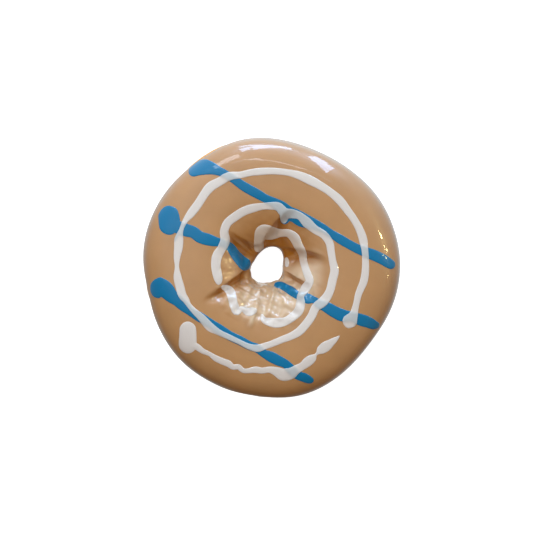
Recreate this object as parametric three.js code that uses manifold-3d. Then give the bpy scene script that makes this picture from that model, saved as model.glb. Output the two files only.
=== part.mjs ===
import * as THREE from "three";
import { mergeVertices } from "three/addons/utils/BufferGeometryUtils.js";
import Module from "manifold-3d";

// A yeast-raised ring doughnut, fried on both sides and dipped top side down in maple icing. White and
// blue icing was drizzled over it before it set. It lies flat, as it was served. Lengths are in
// millimetres. X and Y are across the ring, +Z is up, and the origin is on the underside, in the middle
// of the ring's outer box. Angles are in degrees, counter-clockwise from +X as seen from above.

// The ring. Each wave is its number of humps round the ring, its height and the angle of one hump.
const outlineRadius = 47.2;
const outlineWaves = [
  [1, 0.64, 169], [2, 0.39, 106], [3, 0.67, 13], [4, 0.38, 12], [5, 0.15, 14], [6, 0.3, 45],
];
const holeCentre = [-1.35, 0.8];
const holeRadius = 6.3;
const holeWaves = [[2, 0.78, 59], [3, 0.47, 75], [4, 0.22, 46]];
const crownHeight = 31;
const crownWaves = [[1, 0.5, 250], [2, 0.5, 20], [3, 0.35, 80]];
const waistHeight = 17;
const bellyDrop = 18.7; // from the waist to the bottom of the uncut oval, which the flat base cuts short
const crownPlace = 0.52; // of the way from the hole's wall to the outer edge
const funnelPower = 2.0; // 2 makes a round slope, and more makes it squarer
const shoulderPower = 2.9;
const bellyPower = 2.2;

// The puckers round the hole, where the dough shrank while it fried. Each is a valley whose line runs
// from one angle at the hole's edge to another at its far end. One of its sides is soft. The other is
// flat, ends in a ridge, and has its own width near the hole and at the far end.
const puckerStart = 2.5; // how far from the hole's wall a pucker takes to reach its depth
const puckerHold = 0.5; // of a pucker's length, before it runs out
const [counterClockwise, clockwise] = [1, -1];
const puckers = [
  { near: 78, far: 64, length: 16.2, depth: 3.2, soft: 2, flat: [4.6, 2.4], flatSide: counterClockwise },
  { near: 160, far: 139, length: 15.3, depth: 2.7, soft: 2, flat: [7.4, 0.8], flatSide: clockwise },
  { near: 212, far: 208, length: 21, depth: 2.6, soft: 1.2, flat: [3.6, 1.2], flatSide: clockwise },
  { near: 240, far: 242, length: 10.8, depth: 0.7, soft: 1.4, flat: [1.5, 1.5], flatSide: clockwise },
  { near: 262, far: 258, length: 14.4, depth: 0.6, soft: 1.6, flat: [1.6, 1.6], flatSide: clockwise },
  { near: 300, far: 302, length: 9, depth: 0.8, soft: 1.4, flat: [1.5, 1.5], flatSide: clockwise },
  { near: 327, far: 331, length: 13, depth: 2.2, soft: 1.4, flat: [2, 1.8], flatSide: counterClockwise },
  { near: 19, far: 3, length: 16.2, depth: 3.2, soft: 2.4, flat: [4.8, 2], flatSide: counterClockwise },
];
const valleyRoundness = 0.25; // of a side's width
const ridgeRoundness = 0.08;
const flatCurve = 1.7; // how much steeper a flat side gets towards its ridge

// The icing coat, and the bead that it gathers in along its lower edge.
const coatThickness = 1.4;
const coatGap = 0.3;
const coatInnerEdge = -12; // round the section from the hole's narrowest ring, which is 0, over the crown
const coatOuterEdge = 188; // 180 is the ring's widest line
const coatEdgeWaves = [[5, 1.6, 40], [8, 1.4, 10], [13, 0.8, 75]];
const bareSpots = [[120, 18, 26], [190, 12, 23], [266, 15, 20]]; // angle, half width and the edge's lift
const bareThinning = 0.25; // off the coat's edge over the barest spot
const thinningFrom = 130; // round the section
const beadHeight = 0.3;
const beadWidth = 7;
const easeOut = 9; // how far round the section the dough takes to swell out beyond the coat

// The drizzle: [x, y, width] at points along the middle of each stroke.
const drizzleSink = 0.7;
const blueHeight = 0.55;
const whiteHeight = 0.85;
const topWidth = 0.66; // of a stroke's width, along its flat top
const footWidth = 1.1; // and where it has sunk into the coat
const endWidth = 0.55; // and at its blunt ends, which are also lower by as much
const whiteStrokes = {
  longTurns: [
    [27.2, -21.6, 3.6], [28.3, -19.1, 5], [30.4, -13.7, 2.6], [33.2, -5, 2.8], [33.9, 3, 2.6], [33, 10, 3],
    [30, 17.5, 2.8], [24.5, 24.5, 3.1], [17.5, 30, 3.1], [10, 33.5, 3], [0, 35, 2.5], [-11.5, 33.7, 2.6],
    [-18.7, 31.4, 3.2], [-23, 28.5, 3.5], [-26.7, 23, 3.2], [-31.3, 17, 2.1], [-33.6, 10, 3.1],
    [-34.2, 2, 2], [-33.5, -5, 3.1], [-30.4, -12.4, 2.2], [-23, -20.5, 3], [-15, -25.2, 2],
    [-5.5, -29, 2.6], [3.4, -26, 2.5], [11, -22, 3.1], [15.5, -15.5, 3.2], [20, -10.5, 3.3],
    [22.6, -2, 3], [21.5, 6.5, 2.8], [18, 12.5, 3], [12.5, 16.7, 3.4], [7, 19.8, 3.4], [0, 22.5, 2.8],
    [-9, 21, 3.2], [-15.7, 16.5, 3.2], [-16.9, 11, 3.4], [-19.6, 4.5, 3.5], [-20, -1, 3.4],
    [-19.2, -5.8, 2],
  ],
  lobe: [
    [-16.6, -7.3, 2.2], [-14.2, -10.5, 2.9], [-13.1, -15.5, 3.2], [-10.4, -15, 2], [-7.5, -16, 3],
    [-5.4, -15.2, 1.4],
  ],
  innerTurn: [
    [-3.6, -16.9, 1], [-1.5, -19.4, 2.8], [2.5, -19.8, 3.5], [7, -18, 3.1], [10.2, -14, 3.3],
    [10.8, -9.6, 2.8], [13.6, -4.5, 3], [12.2, 0, 2.7], [11.5, 4.8, 2.9], [9, 10, 3.4], [5.5, 13, 2.9],
    [1, 12.8, 4.2], [-3.3, 13, 5.2], [-4.6, 8.5, 3.4],
  ],
  curlHead: [[-30.4, -19.6, 5.2], [-30.3, -25, 6.4], [-30.3, -30.4, 5.6]],
  curl: [
    [-30, -28, 2.6], [-26.5, -28.8, 2.4], [-22.4, -31.1, 1.8],
    [-17, -34, 2.4], [-12, -36, 2], [-8.5, -37.2, 1.9], [-1, -36.9, 2.4], [3.8, -38.4, 4.5],
    [7.5, -37.8, 4.2], [12.5, -34.5, 3.3], [16, -31.3, 1.4], [19, -28.9, 3.6], [22.5, -26.2, 2.2],
    [24.2, -24.7, 0.8],
  ],
};
const blueStrokes = {
  upper: [
    [-30, 34.3, 3.4], [-25.3, 36.6, 6], [-20, 35.5, 3.8], [-14, 32.3, 2.9], [-7.5, 28.4, 3.4],
    [0, 24.2, 3.1], [6.6, 19.9, 4.6], [13, 17, 4.2], [20, 13.5, 2.9], [28, 8.6, 3.3], [36.4, 4.9, 4],
    [42.5, 1.9, 3.7], [44.8, 0.6, 2.8],
  ],
  middleHead: [[-38.2, 22.2, 5.2], [-37.2, 17.4, 7.8], [-36.8, 12.4, 5.6]],
  middleLeft: [
    [-36.4, 15.8, 4], [-34.2, 14.9, 4.6], [-28.4, 12.9, 4.4], [-20.5, 9.7, 3.6],
    [-15, 7.7, 3.3], [-11.2, 3.1, 4.3], [-9.4, 1.2, 3.6],
  ],
  middleRight: [
    [1.6, -6.6, 1.6], [5.3, -7.3, 2.9], [9.5, -9.9, 3], [13.2, -11.1, 3.7], [15.3, -11.6, 2.6],
    [20, -14.2, 4], [25.7, -17, 4.5], [29.5, -17.7, 3.6], [34.5, -19.4, 4.3], [38.8, -20.9, 2],
  ],
  lower: [
    [-43.6, -5.9, 7], [-40.5, -7.2, 7.6], [-36.3, -10, 5.1], [-29.5, -15.4, 3.3], [-22.3, -19.9, 3.4],
    [-11.4, -26.2, 3.4], [-4, -29.8, 3], [1, -32.7, 3.8], [6.5, -36, 3.2], [10.5, -39.3, 3.4],
    [15, -41, 1.8],
  ],
};

// How finely the skins are cut into triangles.
const columns = 76;
const crownRows = 16;
const underRows = 9;
const bellyRows = 10;
const traceStep = 0.3; // along a stroke's curve, from which its stations are picked
const strokeStep = 4.6;
const fineStep = 1.3; // among the puckers
const fineReach = 20; // from the hole's centre
const smallestEdge = 0.02; // shorter edges are closed up after the strokes are joined

// A place on the curved skin is found from its place in plan by steps that close in on it.
const spokePasses = 8;
const drapePasses = 12;
const drapeStep = 0.6; // of what is still missing
const spokeLimits = [0.01, 0.985]; // how near to the hole's wall and the outer edge a stroke may reach

const radians = THREE.MathUtils.degToRad;
const degrees = THREE.MathUtils.radToDeg;

function waves(angle, list) {
  return list.reduce((sum, [humps, height, peak]) => {
    return sum + height * Math.cos(humps * radians(angle - peak));
  }, 0);
}

function angleBetween(angle, other) {
  return THREE.MathUtils.euclideanModulo(angle - other + 180, 360) - 180;
}

const outlineAt = (angle) => outlineRadius + waves(angle, outlineWaves);
const holeAt = (angle) => holeRadius + waves(angle, holeWaves);

// The outline's own middle, so that the ring's box is centred on the origin.
const outlineBox = new THREE.Box2();
for (let angle = 0; angle < 360; angle += 1) {
  const edge = new THREE.Vector2(outlineAt(angle), 0).rotateAround(new THREE.Vector2(), radians(angle));
  outlineBox.expandByPoint(edge);
}
const outlineCentre = outlineBox.getCenter(new THREE.Vector2()).negate();

// Where a spoke of the ring runs in plan: part 0 is the hole's wall, and part 1 is the outer edge.
function spoke(angle, part) {
  const reach = THREE.MathUtils.lerp(holeAt(angle), outlineAt(angle), part);
  const x = THREE.MathUtils.lerp(holeCentre[0], outlineCentre.x, part) + reach * Math.cos(radians(angle));
  const y = THREE.MathUtils.lerp(holeCentre[1], outlineCentre.y, part) + reach * Math.sin(radians(angle));
  return [x, y];
}

// The ring's section is four quarter ovals: the funnel into the hole, the shoulder, and the belly on each
// side, which is cut off flat where the doughnut lay. The turn goes from the hole's narrowest ring, 0,
// over the crown, 90, to the widest line, 180, and under to the base, 270.
function smoothRing(angle, turn) {
  const across = Math.cos(radians(turn));
  const up = Math.sin(radians(turn));
  const upperPower = across > 0 ? funnelPower : shoulderPower;
  const power = up > 0 ? upperPower : bellyPower;
  const out = Math.abs(across) ** (2 / power);
  const part = across > 0 ? crownPlace * (1 - out) : crownPlace + (1 - crownPlace) * out;
  const rise = Math.abs(up) ** (2 / power);
  const crown = crownHeight - waistHeight + waves(angle, crownWaves);
  const z = up > 0 ? waistHeight + crown * rise : Math.max(0, waistHeight - bellyDrop * rise);
  return new THREE.Vector3(...spoke(angle, part), z);
}

function ringNormal(angle, turn) {
  const small = 0.2; // degrees to either side, over which the slope is taken
  const round = smoothRing(angle + small, turn).sub(smoothRing(angle - small, turn));
  const over = smoothRing(angle, turn + small).sub(smoothRing(angle, turn - small));
  return over.cross(round).normalize();
}

// Only the funnel over the hole is puckered. The dough's underside is smooth.
function puckerDepth(angle, turn) {
  if (turn <= 0 || turn >= 90) return 0;
  const across = Math.cos(radians(turn));
  const part = crownPlace * (1 - across ** (2 / funnelPower));
  const along = part * (outlineAt(angle) - holeAt(angle));
  return puckers.reduce((sum, { near, far, length, depth, soft, flat, flatSide }) => {
    const share = Math.min(1, along / length);
    const line = THREE.MathUtils.lerp(near, far, share);
    const side = radians(angleBetween(angle, line)) * (holeAt(angle) + along) * flatSide;
    const sharpWay = 1 - side / THREE.MathUtils.lerp(...flat, share);
    const toRidge = ridgeRoundness * Math.log1p(Math.exp(sharpWay / ridgeRoundness));
    const flatSlope = 1 - Math.max(0, 1 - toRidge) ** flatCurve;
    const softSlope = Math.exp(valleyRoundness - Math.hypot(side / soft, valleyRoundness));
    const start = THREE.MathUtils.smoothstep(along, 0, puckerStart);
    const end = 1 - THREE.MathUtils.smoothstep(along, puckerHold * length, length);
    return sum + depth * (side > 0 ? flatSlope : softSlope) * start * end;
  }, 0);
}

// A point of the doughnut's skin, or of the same skin a given depth below it.
function skin(angle, turn, depth) {
  const inward = puckerDepth(angle, turn) + depth;
  return smoothRing(angle, turn).addScaledVector(ringNormal(angle, turn), -inward);
}

// A closed ring of rows, of which place(angle, row) gives the points. From the row turnBack on, the rows
// run back along the ones before, and their squares are halved the other way, so that skins lie parallel.
function ringMesh(rows, turnBack, place) {
  const points = [];
  const faces = [];
  for (let row = 0; row < rows; row += 1) {
    for (let column = 0; column < columns; column += 1) {
      points.push(...place((360 * column) / columns, row).toArray());
      const next = (column + 1) % columns;
      const low = row * columns;
      const high = ((row + 1) % rows) * columns;
      const back = row >= turnBack;
      const corner = back ? high + column : high + next;
      const opposite = back ? low + next : low + column;
      faces.push(low + column, corner, low + next, high + column, high + next, opposite);
    }
  }
  return { points, faces };
}

function edgeLift(angle) {
  return bareSpots.reduce((sum, [place, half, height]) => {
    return sum + height * Math.exp(-((angleBetween(angle, place) / half) ** 2));
  }, 0);
}

const coatEnd = (angle) => coatOuterEdge + waves(angle, coatEdgeWaves) - edgeLift(angle);
const mostLift = Math.max(...bareSpots.map(([, , height]) => height));

function coatPoint(angle, share, depth) {
  const end = coatEnd(angle);
  const turn = THREE.MathUtils.lerp(coatInnerEdge, end, share);
  if (depth > 0) return skin(angle, turn, depth);
  const bare = edgeLift(angle) / mostLift;
  const bead = beadHeight * (1 - bare) * Math.exp(-(((end - turn - beadWidth) / beadWidth) ** 2));
  const low = THREE.MathUtils.smoothstep(turn, thinningFrom, coatOuterEdge);
  return skin(angle, turn, bareThinning * low * bare - bead);
}

// The coat's outer skin, its rounded lower edge, its underside and its rounded edge in the hole.
function coatRow(angle, row) {
  const edgeShare = 0.006;
  if (row <= crownRows) return coatPoint(angle, row / crownRows, 0);
  if (row === crownRows + 1) return coatPoint(angle, 1 + edgeShare, coatThickness / 2);
  const under = row - crownRows - 2;
  if (under <= underRows) return coatPoint(angle, 1 - under / underRows, coatThickness);
  return coatPoint(angle, -edgeShare, coatThickness / 2);
}

// The dough lies under the coat, and swells out to the full skin beyond the coat's two edges.
function doughRow(angle, row) {
  const end = coatEnd(angle);
  const covered = coatThickness + coatGap;
  if (row <= underRows) {
    return skin(angle, THREE.MathUtils.lerp(coatInnerEdge, end, row / underRows), covered);
  }
  const below = (row - underRows) / bellyRows;
  const turn = THREE.MathUtils.lerp(end, 360 + coatInnerEdge, below);
  const far = Math.min(turn - end, 360 + coatInnerEdge - turn);
  const depth = covered * (1 - THREE.MathUtils.smoothstep(far, 0, easeOut));
  const point = skin(angle, turn, depth);
  return point.setZ(Math.max(0, point.z));
}

// The angle and turn of the upper skin's point that lies over a place in plan.
function anglesOver(x, y) {
  let part = crownPlace;
  let angle = 0;
  for (let pass = 0; pass < spokePasses; pass += 1) {
    const dx = x - THREE.MathUtils.lerp(holeCentre[0], outlineCentre.x, part);
    const dy = y - THREE.MathUtils.lerp(holeCentre[1], outlineCentre.y, part);
    angle = degrees(Math.atan2(dy, dx));
    part = (Math.hypot(dx, dy) - holeAt(angle)) / (outlineAt(angle) - holeAt(angle));
    part = THREE.MathUtils.clamp(part, ...spokeLimits);
  }
  if (part < crownPlace) return [angle, degrees(Math.acos((1 - part / crownPlace) ** (funnelPower / 2)))];
  const out = (part - crownPlace) / (1 - crownPlace);
  return [angle, 180 - degrees(Math.acos(out ** (shoulderPower / 2)))];
}

// The coat's outer skin as it is cut into triangles.
const coatMesh = ringMesh(crownRows + underRows + 4, crownRows + 1, coatRow);

function coatCorner(column, row) {
  return new THREE.Vector3().fromArray(coatMesh.points, 3 * (row * columns + (column % columns)));
}

function coatFacet(angle, turn) {
  const across = (THREE.MathUtils.euclideanModulo(angle, 360) / 360) * columns;
  const over = ((turn - coatInnerEdge) / (coatEnd(angle) - coatInnerEdge)) * crownRows;
  const column = Math.floor(across);
  const row = THREE.MathUtils.clamp(Math.floor(over), 0, crownRows - 1);
  const [left, up] = [across - column, over - row];
  const start = coatCorner(column, row);
  const opposite = coatCorner(column + 1, row + 1);
  const middle = left > up ? coatCorner(column + 1, row) : coatCorner(column, row + 1);
  const toMiddle = middle.clone().sub(start).multiplyScalar(Math.max(left, up));
  return start.add(toMiddle).addScaledVector(opposite.sub(middle), Math.min(left, up));
}

// The point that stands a height above the coat, over a place in plan.
function drape(x, y, height) {
  let aimX = x;
  let aimY = y;
  let angles = anglesOver(x, y);
  for (let pass = 0; pass < drapePasses; pass += 1) {
    const point = coatFacet(...angles);
    aimX += drapeStep * (x - point.x);
    aimY += drapeStep * (y - point.y);
    angles = anglesOver(aimX, aimY);
  }
  return coatFacet(...angles).addScaledVector(ringNormal(...angles), height);
}

// The stations of a stroke, closer together among the puckers.
function stations(stroke) {
  const curve = new THREE.CatmullRomCurve3(stroke.map((point) => new THREE.Vector3(...point)));
  const fine = curve.getSpacedPoints(Math.ceil(curve.getLength() / traceStep));
  const kept = [fine[0]];
  for (const point of fine) {
    const last = kept[kept.length - 1];
    const near = Math.hypot(point.x - holeCentre[0], point.y - holeCentre[1]) < fineReach;
    if (Math.hypot(point.x - last.x, point.y - last.y) > (near ? fineStep : strokeStep)) kept.push(point);
  }
  kept[kept.length - 1] = fine[fine.length - 1];
  return kept;
}

// A stroke of drizzle: a flat-topped bead that follows the skin, sunk into the coat and blunt at its ends.
function strokeMesh(stroke, height) {
  const middle = stations(stroke);
  const last = middle.length - 1;
  const points = [];
  const faces = [];
  middle.forEach((at, index) => {
    const before = middle[Math.max(0, index - 1)];
    const after = middle[Math.min(last, index + 1)];
    const length = Math.hypot(after.x - before.x, after.y - before.y);
    const sideX = (before.y - after.y) / length;
    const sideY = (after.x - before.x) / length;
    const blunt = index === 0 || index === last ? endWidth : 1;
    const section = [
      [-footWidth / 2, -drizzleSink], [-topWidth / 2, height * blunt],
      [topWidth / 2, height * blunt], [footWidth / 2, -drizzleSink], [0, -drizzleSink],
    ];
    section.forEach(([across, lift], corner) => {
      const offset = across * at.z * blunt;
      points.push(...drape(at.x + sideX * offset, at.y + sideY * offset, lift).toArray());
      if (index === last) return;
      const a = index * section.length + corner;
      const b = index * section.length + ((corner + 1) % section.length);
      faces.push(b, a, b + section.length, b + section.length, a, a + section.length);
    });
  });
  const foot = 4; // the corner in the middle of a section's foot, from which the two ends are closed
  const tip = last * (foot + 1);
  for (let a = 0; a < foot - 1; a += 1) faces.push(a, a + 1, foot, tip + a + 1, tip + a, tip + foot);
  return { points, faces };
}

const wasm = await Module();
wasm.setup();

function solid({ points, faces }) {
  const mesh = { numProp: 3, vertProperties: new Float32Array(points), triVerts: new Uint32Array(faces) };
  return new wasm.Manifold(new wasm.Mesh(mesh));
}

function geometry(points, faces) {
  const shape = new THREE.BufferGeometry();
  shape.setAttribute("position", new THREE.BufferAttribute(new Float32Array(points), 3));
  shape.setIndex(faces);
  return shape;
}

// The same surface with its short edges closed up, and without the faces that fold flat as they close.
function closeShortEdges(shape) {
  const merged = mergeVertices(shape);
  const points = merged.attributes.position;
  const index = merged.index.array;
  const stand = Array.from({ length: points.count }, (_, vertex) => vertex);
  const root = (vertex) => (stand[vertex] === vertex ? vertex : root(stand[vertex]));
  const from = new THREE.Vector3();
  const to = new THREE.Vector3();
  for (let corner = 0; corner < index.length; corner += 1) {
    const a = root(index[corner]);
    const b = root(index[corner % 3 === 2 ? corner - 2 : corner + 1]);
    from.fromBufferAttribute(points, a);
    to.fromBufferAttribute(points, b);
    if (a !== b && from.distanceTo(to) < smallestEdge) stand[Math.max(a, b)] = Math.min(a, b);
  }
  const kept = new Map();
  for (let corner = 0; corner < index.length; corner += 3) {
    const face = [root(index[corner]), root(index[corner + 1]), root(index[corner + 2])];
    if (new Set(face).size < 3) continue;
    const key = [...face].sort((one, other) => one - other).join(" ");
    if (!kept.delete(key)) kept.set(key, face);
  }
  return { points: points.array, faces: [...kept.values()].flat() };
}

function doughRing() {
  const { points, faces } = ringMesh(underRows + bellyRows, Infinity, doughRow);
  const fried = new THREE.MeshStandardMaterial({ color: "#c98f4f", roughness: 0.6, metalness: 0 });
  const mesh = new THREE.Mesh(geometry(points, faces), fried);
  mesh.name = "dough_ring";
  return mesh;
}

function mapleIcing() {
  let coat = solid(coatMesh);
  for (const [strokes, height] of [[blueStrokes, blueHeight], [whiteStrokes, whiteHeight]]) {
    for (const stroke of Object.values(strokes)) coat = coat.add(solid(strokeMesh(stroke, height)));
  }
  const [whole] = coat.decompose().sort((one, other) => other.volume() - one.volume());
  const { vertProperties, triVerts } = whole.getMesh();
  const { points, faces } = closeShortEdges(geometry(vertProperties, Array.from(triVerts)));
  const glaze = new THREE.MeshStandardMaterial({ color: "#b0845f", roughness: 0.2, metalness: 0 });
  const mesh = new THREE.Mesh(geometry(points, faces), glaze);
  mesh.name = "maple_icing";
  return mesh;
}

const doughnut = new THREE.Group();
doughnut.add(doughRing(), mapleIcing());

export default doughnut;
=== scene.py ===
import math
from collections import namedtuple

import bpy
import numpy as np
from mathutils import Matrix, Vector


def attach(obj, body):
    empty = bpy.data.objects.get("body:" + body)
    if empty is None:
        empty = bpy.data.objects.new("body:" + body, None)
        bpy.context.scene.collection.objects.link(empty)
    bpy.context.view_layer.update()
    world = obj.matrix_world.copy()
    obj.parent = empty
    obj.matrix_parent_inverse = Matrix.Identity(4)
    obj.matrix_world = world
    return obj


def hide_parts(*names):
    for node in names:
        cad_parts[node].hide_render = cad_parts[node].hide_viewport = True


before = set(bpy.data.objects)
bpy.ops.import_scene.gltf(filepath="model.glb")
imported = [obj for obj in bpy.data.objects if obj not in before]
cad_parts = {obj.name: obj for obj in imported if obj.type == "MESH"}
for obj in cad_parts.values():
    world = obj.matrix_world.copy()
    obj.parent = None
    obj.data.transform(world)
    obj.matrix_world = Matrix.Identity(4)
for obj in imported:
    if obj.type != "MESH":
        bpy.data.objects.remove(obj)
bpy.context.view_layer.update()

bl_info = {
    "name": "Maple Iced Ring Doughnut",
    "version": (1, 0, 0),
    "blender": (4, 5, 0),
    "location": "3D View > Sidebar > Doughnut",
    "description": "Models a maple iced ring doughnut on a pale table",
    "category": "Add Mesh",
}

MM = 0.001

# The ring, in millimetres. A wave is its number of humps round the ring, its height and the angle of
# one hump. Angles are in degrees, counter-clockwise from +X as seen from above.
OUTLINE_WAVES = ((1, 0.64, 169), (2, 0.39, 106), (3, 0.67, 13), (4, 0.38, 12), (5, 0.15, 14), (6, 0.3, 45))
HOLE_CENTRE = np.array((-1.35, 0.8))
HOLE_WAVES = ((2, 0.78, 59), (3, 0.47, 75), (4, 0.22, 46))
CROWN_WAVES = ((1, 0.5, 250), (2, 0.5, 20), (3, 0.35, 80))
BELLY_DROP = 18.7  # under the widest line, to where a belly that isn't flattened would end
CROWN_PLACE = 0.52  # of the way from the hole's wall to the outer edge
FUNNEL_POWER = 2.0  # 2 makes a round slope, and more makes it squarer
SHOULDER_POWER = 2.9
BELLY_POWER = 2.2

# The puckers round the hole, where the dough shrank while it fried. Each is a valley with a soft slope
# on one side and a flat one, ending in a ridge, on the other.
Pucker = namedtuple("Pucker", "near far length depth soft_width flat_near flat_far flat_side")
COUNTER_CLOCKWISE = 1
CLOCKWISE = -1
PUCKERS = (
    Pucker(78, 64, 16.2, 3.2, 2.0, 4.6, 2.4, COUNTER_CLOCKWISE),
    Pucker(160, 139, 15.3, 2.7, 2.0, 7.4, 0.8, CLOCKWISE),
    Pucker(212, 208, 21, 2.6, 1.2, 3.6, 1.2, CLOCKWISE),
    Pucker(240, 242, 10.8, 0.7, 1.4, 1.5, 1.5, CLOCKWISE),
    Pucker(262, 258, 14.4, 0.6, 1.6, 1.6, 1.6, CLOCKWISE),
    Pucker(300, 302, 9, 0.8, 1.4, 1.5, 1.5, CLOCKWISE),
    Pucker(327, 331, 13, 2.2, 1.4, 2.0, 1.8, COUNTER_CLOCKWISE),
    Pucker(19, 3, 16.2, 3.2, 2.4, 4.8, 2.0, COUNTER_CLOCKWISE),
)
RIDGE_ROUNDNESS = 0.06  # of the flat side's width
VALLEY_ROUNDNESS = 0.25  # of the soft side's width
FLAT_CURVE = 1.7  # how much steeper a flat side gets towards its ridge
PUCKER_START = 2.5  # from the hole's wall to a pucker's full depth
PUCKER_HOLD = 0.5  # of its length, before a pucker runs out
FULL_PUCKER = 2.5  # a pucker this deep is fully drawn out into wrinkles

# The icing rippled as it set on the slope into the hole: the number of waves, their mean length and height.
RIPPLE_WAVES = 16
RIPPLE_LENGTH = 3.0
RIPPLE_SPREAD = (0.6, 1.7)  # the shortest and the longest, of the mean length
RIPPLE_HEIGHT = 0.32
RIPPLE_SEED = 5

# Runs of icing down the south slope: x and y where each starts and ends.
RUNS = ((1.2, -7.3, -2.0, -18.5), (-4.6, -10.5, -8.2, -22.2))
RUN_HEIGHT = 0.8
RUN_WIDTH = 0.9
RUN_FADE = 3  # at either end of a run

# Painted glare on the slope into the hole: its middle's angle, and how far from the wall it thins and ends.
GLARE_ANGLE = -62
GLARE_REACH = (10, 16)

# The icing coat. Its edges are given round the section, from the hole's narrowest ring, 0, over the crown,
# 90, to the ring's widest line, 180. A bare spot is its angle, half width and how far the edge lifts.
COAT_GAP = 0.3  # between the coat's underside and the dough
COAT_INNER_EDGE = -12
COAT_OUTER_EDGE = 188
COAT_EDGE_WAVES = ((5, 1.6, 40), (8, 1.4, 10), (13, 0.8, 75))
BARE_SPOTS = ((120, 18, 26), (190, 12, 23), (266, 15, 20))
BARE_THINNING = 0.25  # off the icing's edge over the barest spot
THINNING_FROM = 130  # round the section, where the icing starts to thin over a bare spot
BEAD_HEIGHT = 0.3  # of the bead along the icing's lower edge
BEAD_WIDTH = 7
EASE_OUT = 9  # round the section, for the dough to swell out beyond the coat
PALE_BAND = (19, 4.5)  # the height and half width of the crust's pale band

# How finely the skins are cut, round the ring and the section. A torus has at most 256 round the ring.
DOUGH_STEPS = (256, 120)
COAT_STEPS = (256, 200)

# A place on the curved skin is found from its place in plan by steps that close in on it.
SPOKE_PASSES = 8
SPOKE_LIMITS = (0.01, 0.985)  # of the way from the hole's wall to the outer edge
DRAPE_PASSES = 14
DRAPE_STEP = 0.6  # of what is still missing

# Each stroke of drizzle is a low bead, cut into rings along it and sides round it.
STROKE_STEP = 0.5
STROKE_SIDES = 20
STROKE_CAP = 7  # rings that round each end
STROKE_SQUARENESS = (0.8, 0.6)  # across and up: 1 makes a round section, and less makes it squarer
STROKE_SINK = 0.25  # of its underside, into the icing
FULL_WIDTH = 2.2  # a stroke this wide stands at its full height
RISE_OVER_BLUE = 0.3  # of the white, where it crosses the blue
RISE_EDGE = (-0.7, 0.5)  # how far inside the blue it starts to rise, and is fully up
CROSSING_STEP = 0.6  # how finely the blue is followed for this
LOT = 4000  # places compared with the blue at once

# The drizzle: x, y and width at points along the middle of each stroke, in the order they were poured.
BLUE_STROKES = (
    ((5.3, 21, 4.6), (5.0, 18.6, 4.2), (4.5, 16, 2.4)),
    (
        (-30.1, 34.2, 3.3), (-27.7, 35.7, 4.8), (-25.1, 36.8, 6.2), (-22.5, 36.4, 5.1), (-20, 35.5, 3.7),
        (-17, 34.2, 2.9), (-14, 32.3, 2.9), (-10.4, 29.8, 3.4), (-4.9, 26.7, 3.4), (-2.1, 25.1, 3.1),
        (0.8, 23.9, 3.2), (3, 22.4, 4.3), (6.6, 19.7, 4.9), (8.6, 18.9, 5), (10.6, 17.7, 5.3),
        (12.3, 17, 5), (14.5, 16.3, 4.1), (16, 15.7, 3.6), (19.2, 14.1, 2.9), (21.1, 12.8, 2.8),
        (24.7, 10.5, 3.4), (28.3, 8.4, 3.3), (31.2, 6.9, 3.4), (36.4, 4.9, 4), (39.6, 3.5, 4),
        (42.7, 1.7, 3.7), (44.9, 0.5, 2.9),
    ),
    (
        (-38.4, 22.6, 5.2), (-37.8, 20.5, 7.2), (-37.2, 17.5, 8), (-37, 14.5, 7.4), (-36.8, 12, 5.6),
    ),
    (
        (-36.4, 15.8, 4), (-34.2, 14.9, 4.6), (-30.9, 13.7, 4.7),
        (-28.4, 13, 4.3), (-25.9, 11.2, 4.3), (-23, 10.3, 4.3), (-20.5, 9.6, 3.6), (-18.3, 9.2, 2.8),
        (-15.2, 7.7, 3.2), (-13, 4.7, 3.6), (-11, 2.5, 4.2), (-9.2, 1, 4.6), (-7.9, 0.3, 3.6),
    ),
    (
        (0.9, -6.4, 1.5), (3.1, -6.2, 2.6), (5.3, -7.3, 2.9), (7.4, -8.5, 3.3), (9.2, -9.8, 2.9),
        (11.4, -10.5, 3.3), (13.2, -11.1, 3.8), (15.3, -11.5, 2.5), (17.4, -13, 3.2), (20, -14.2, 4),
        (22.9, -15.9, 4.3), (25.7, -17.1, 4.5), (27.9, -17.3, 3.6), (29.7, -17.7, 3.6), (31.9, -18.6, 4.3),
        (34.7, -19.5, 4.2), (37.5, -20.7, 3.3), (39.5, -21, 1.5),
    ),
    (
        (-44, -5.9, 7.2), (-41.3, -7, 8), (-38.7, -7.7, 6.6), (-36.3, -10, 5.1), (-34, -11.7, 4.3),
        (-31.7, -13.7, 4), (-29.5, -15.5, 3.2), (-25.9, -17.7, 3.6), (-22.3, -19.8, 3.2), (-18.7, -22.2, 3.6),
        (-15, -24.5, 3.4), (-11.4, -26.2, 3.4), (-7.8, -28.1, 3.2), (-5.3, -29, 3.2), (-3.1, -30.7, 2.9),
        (-0.6, -31.9, 3.8), (2.3, -33.4, 3.8), (5.2, -34.8, 3.2), (7.4, -36.9, 3.3), (9.6, -38.9, 3.3),
        (11.8, -39.7, 3.4), (13.7, -40.6, 2.9), (15.3, -41, 1.5),
    ),
)
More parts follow.
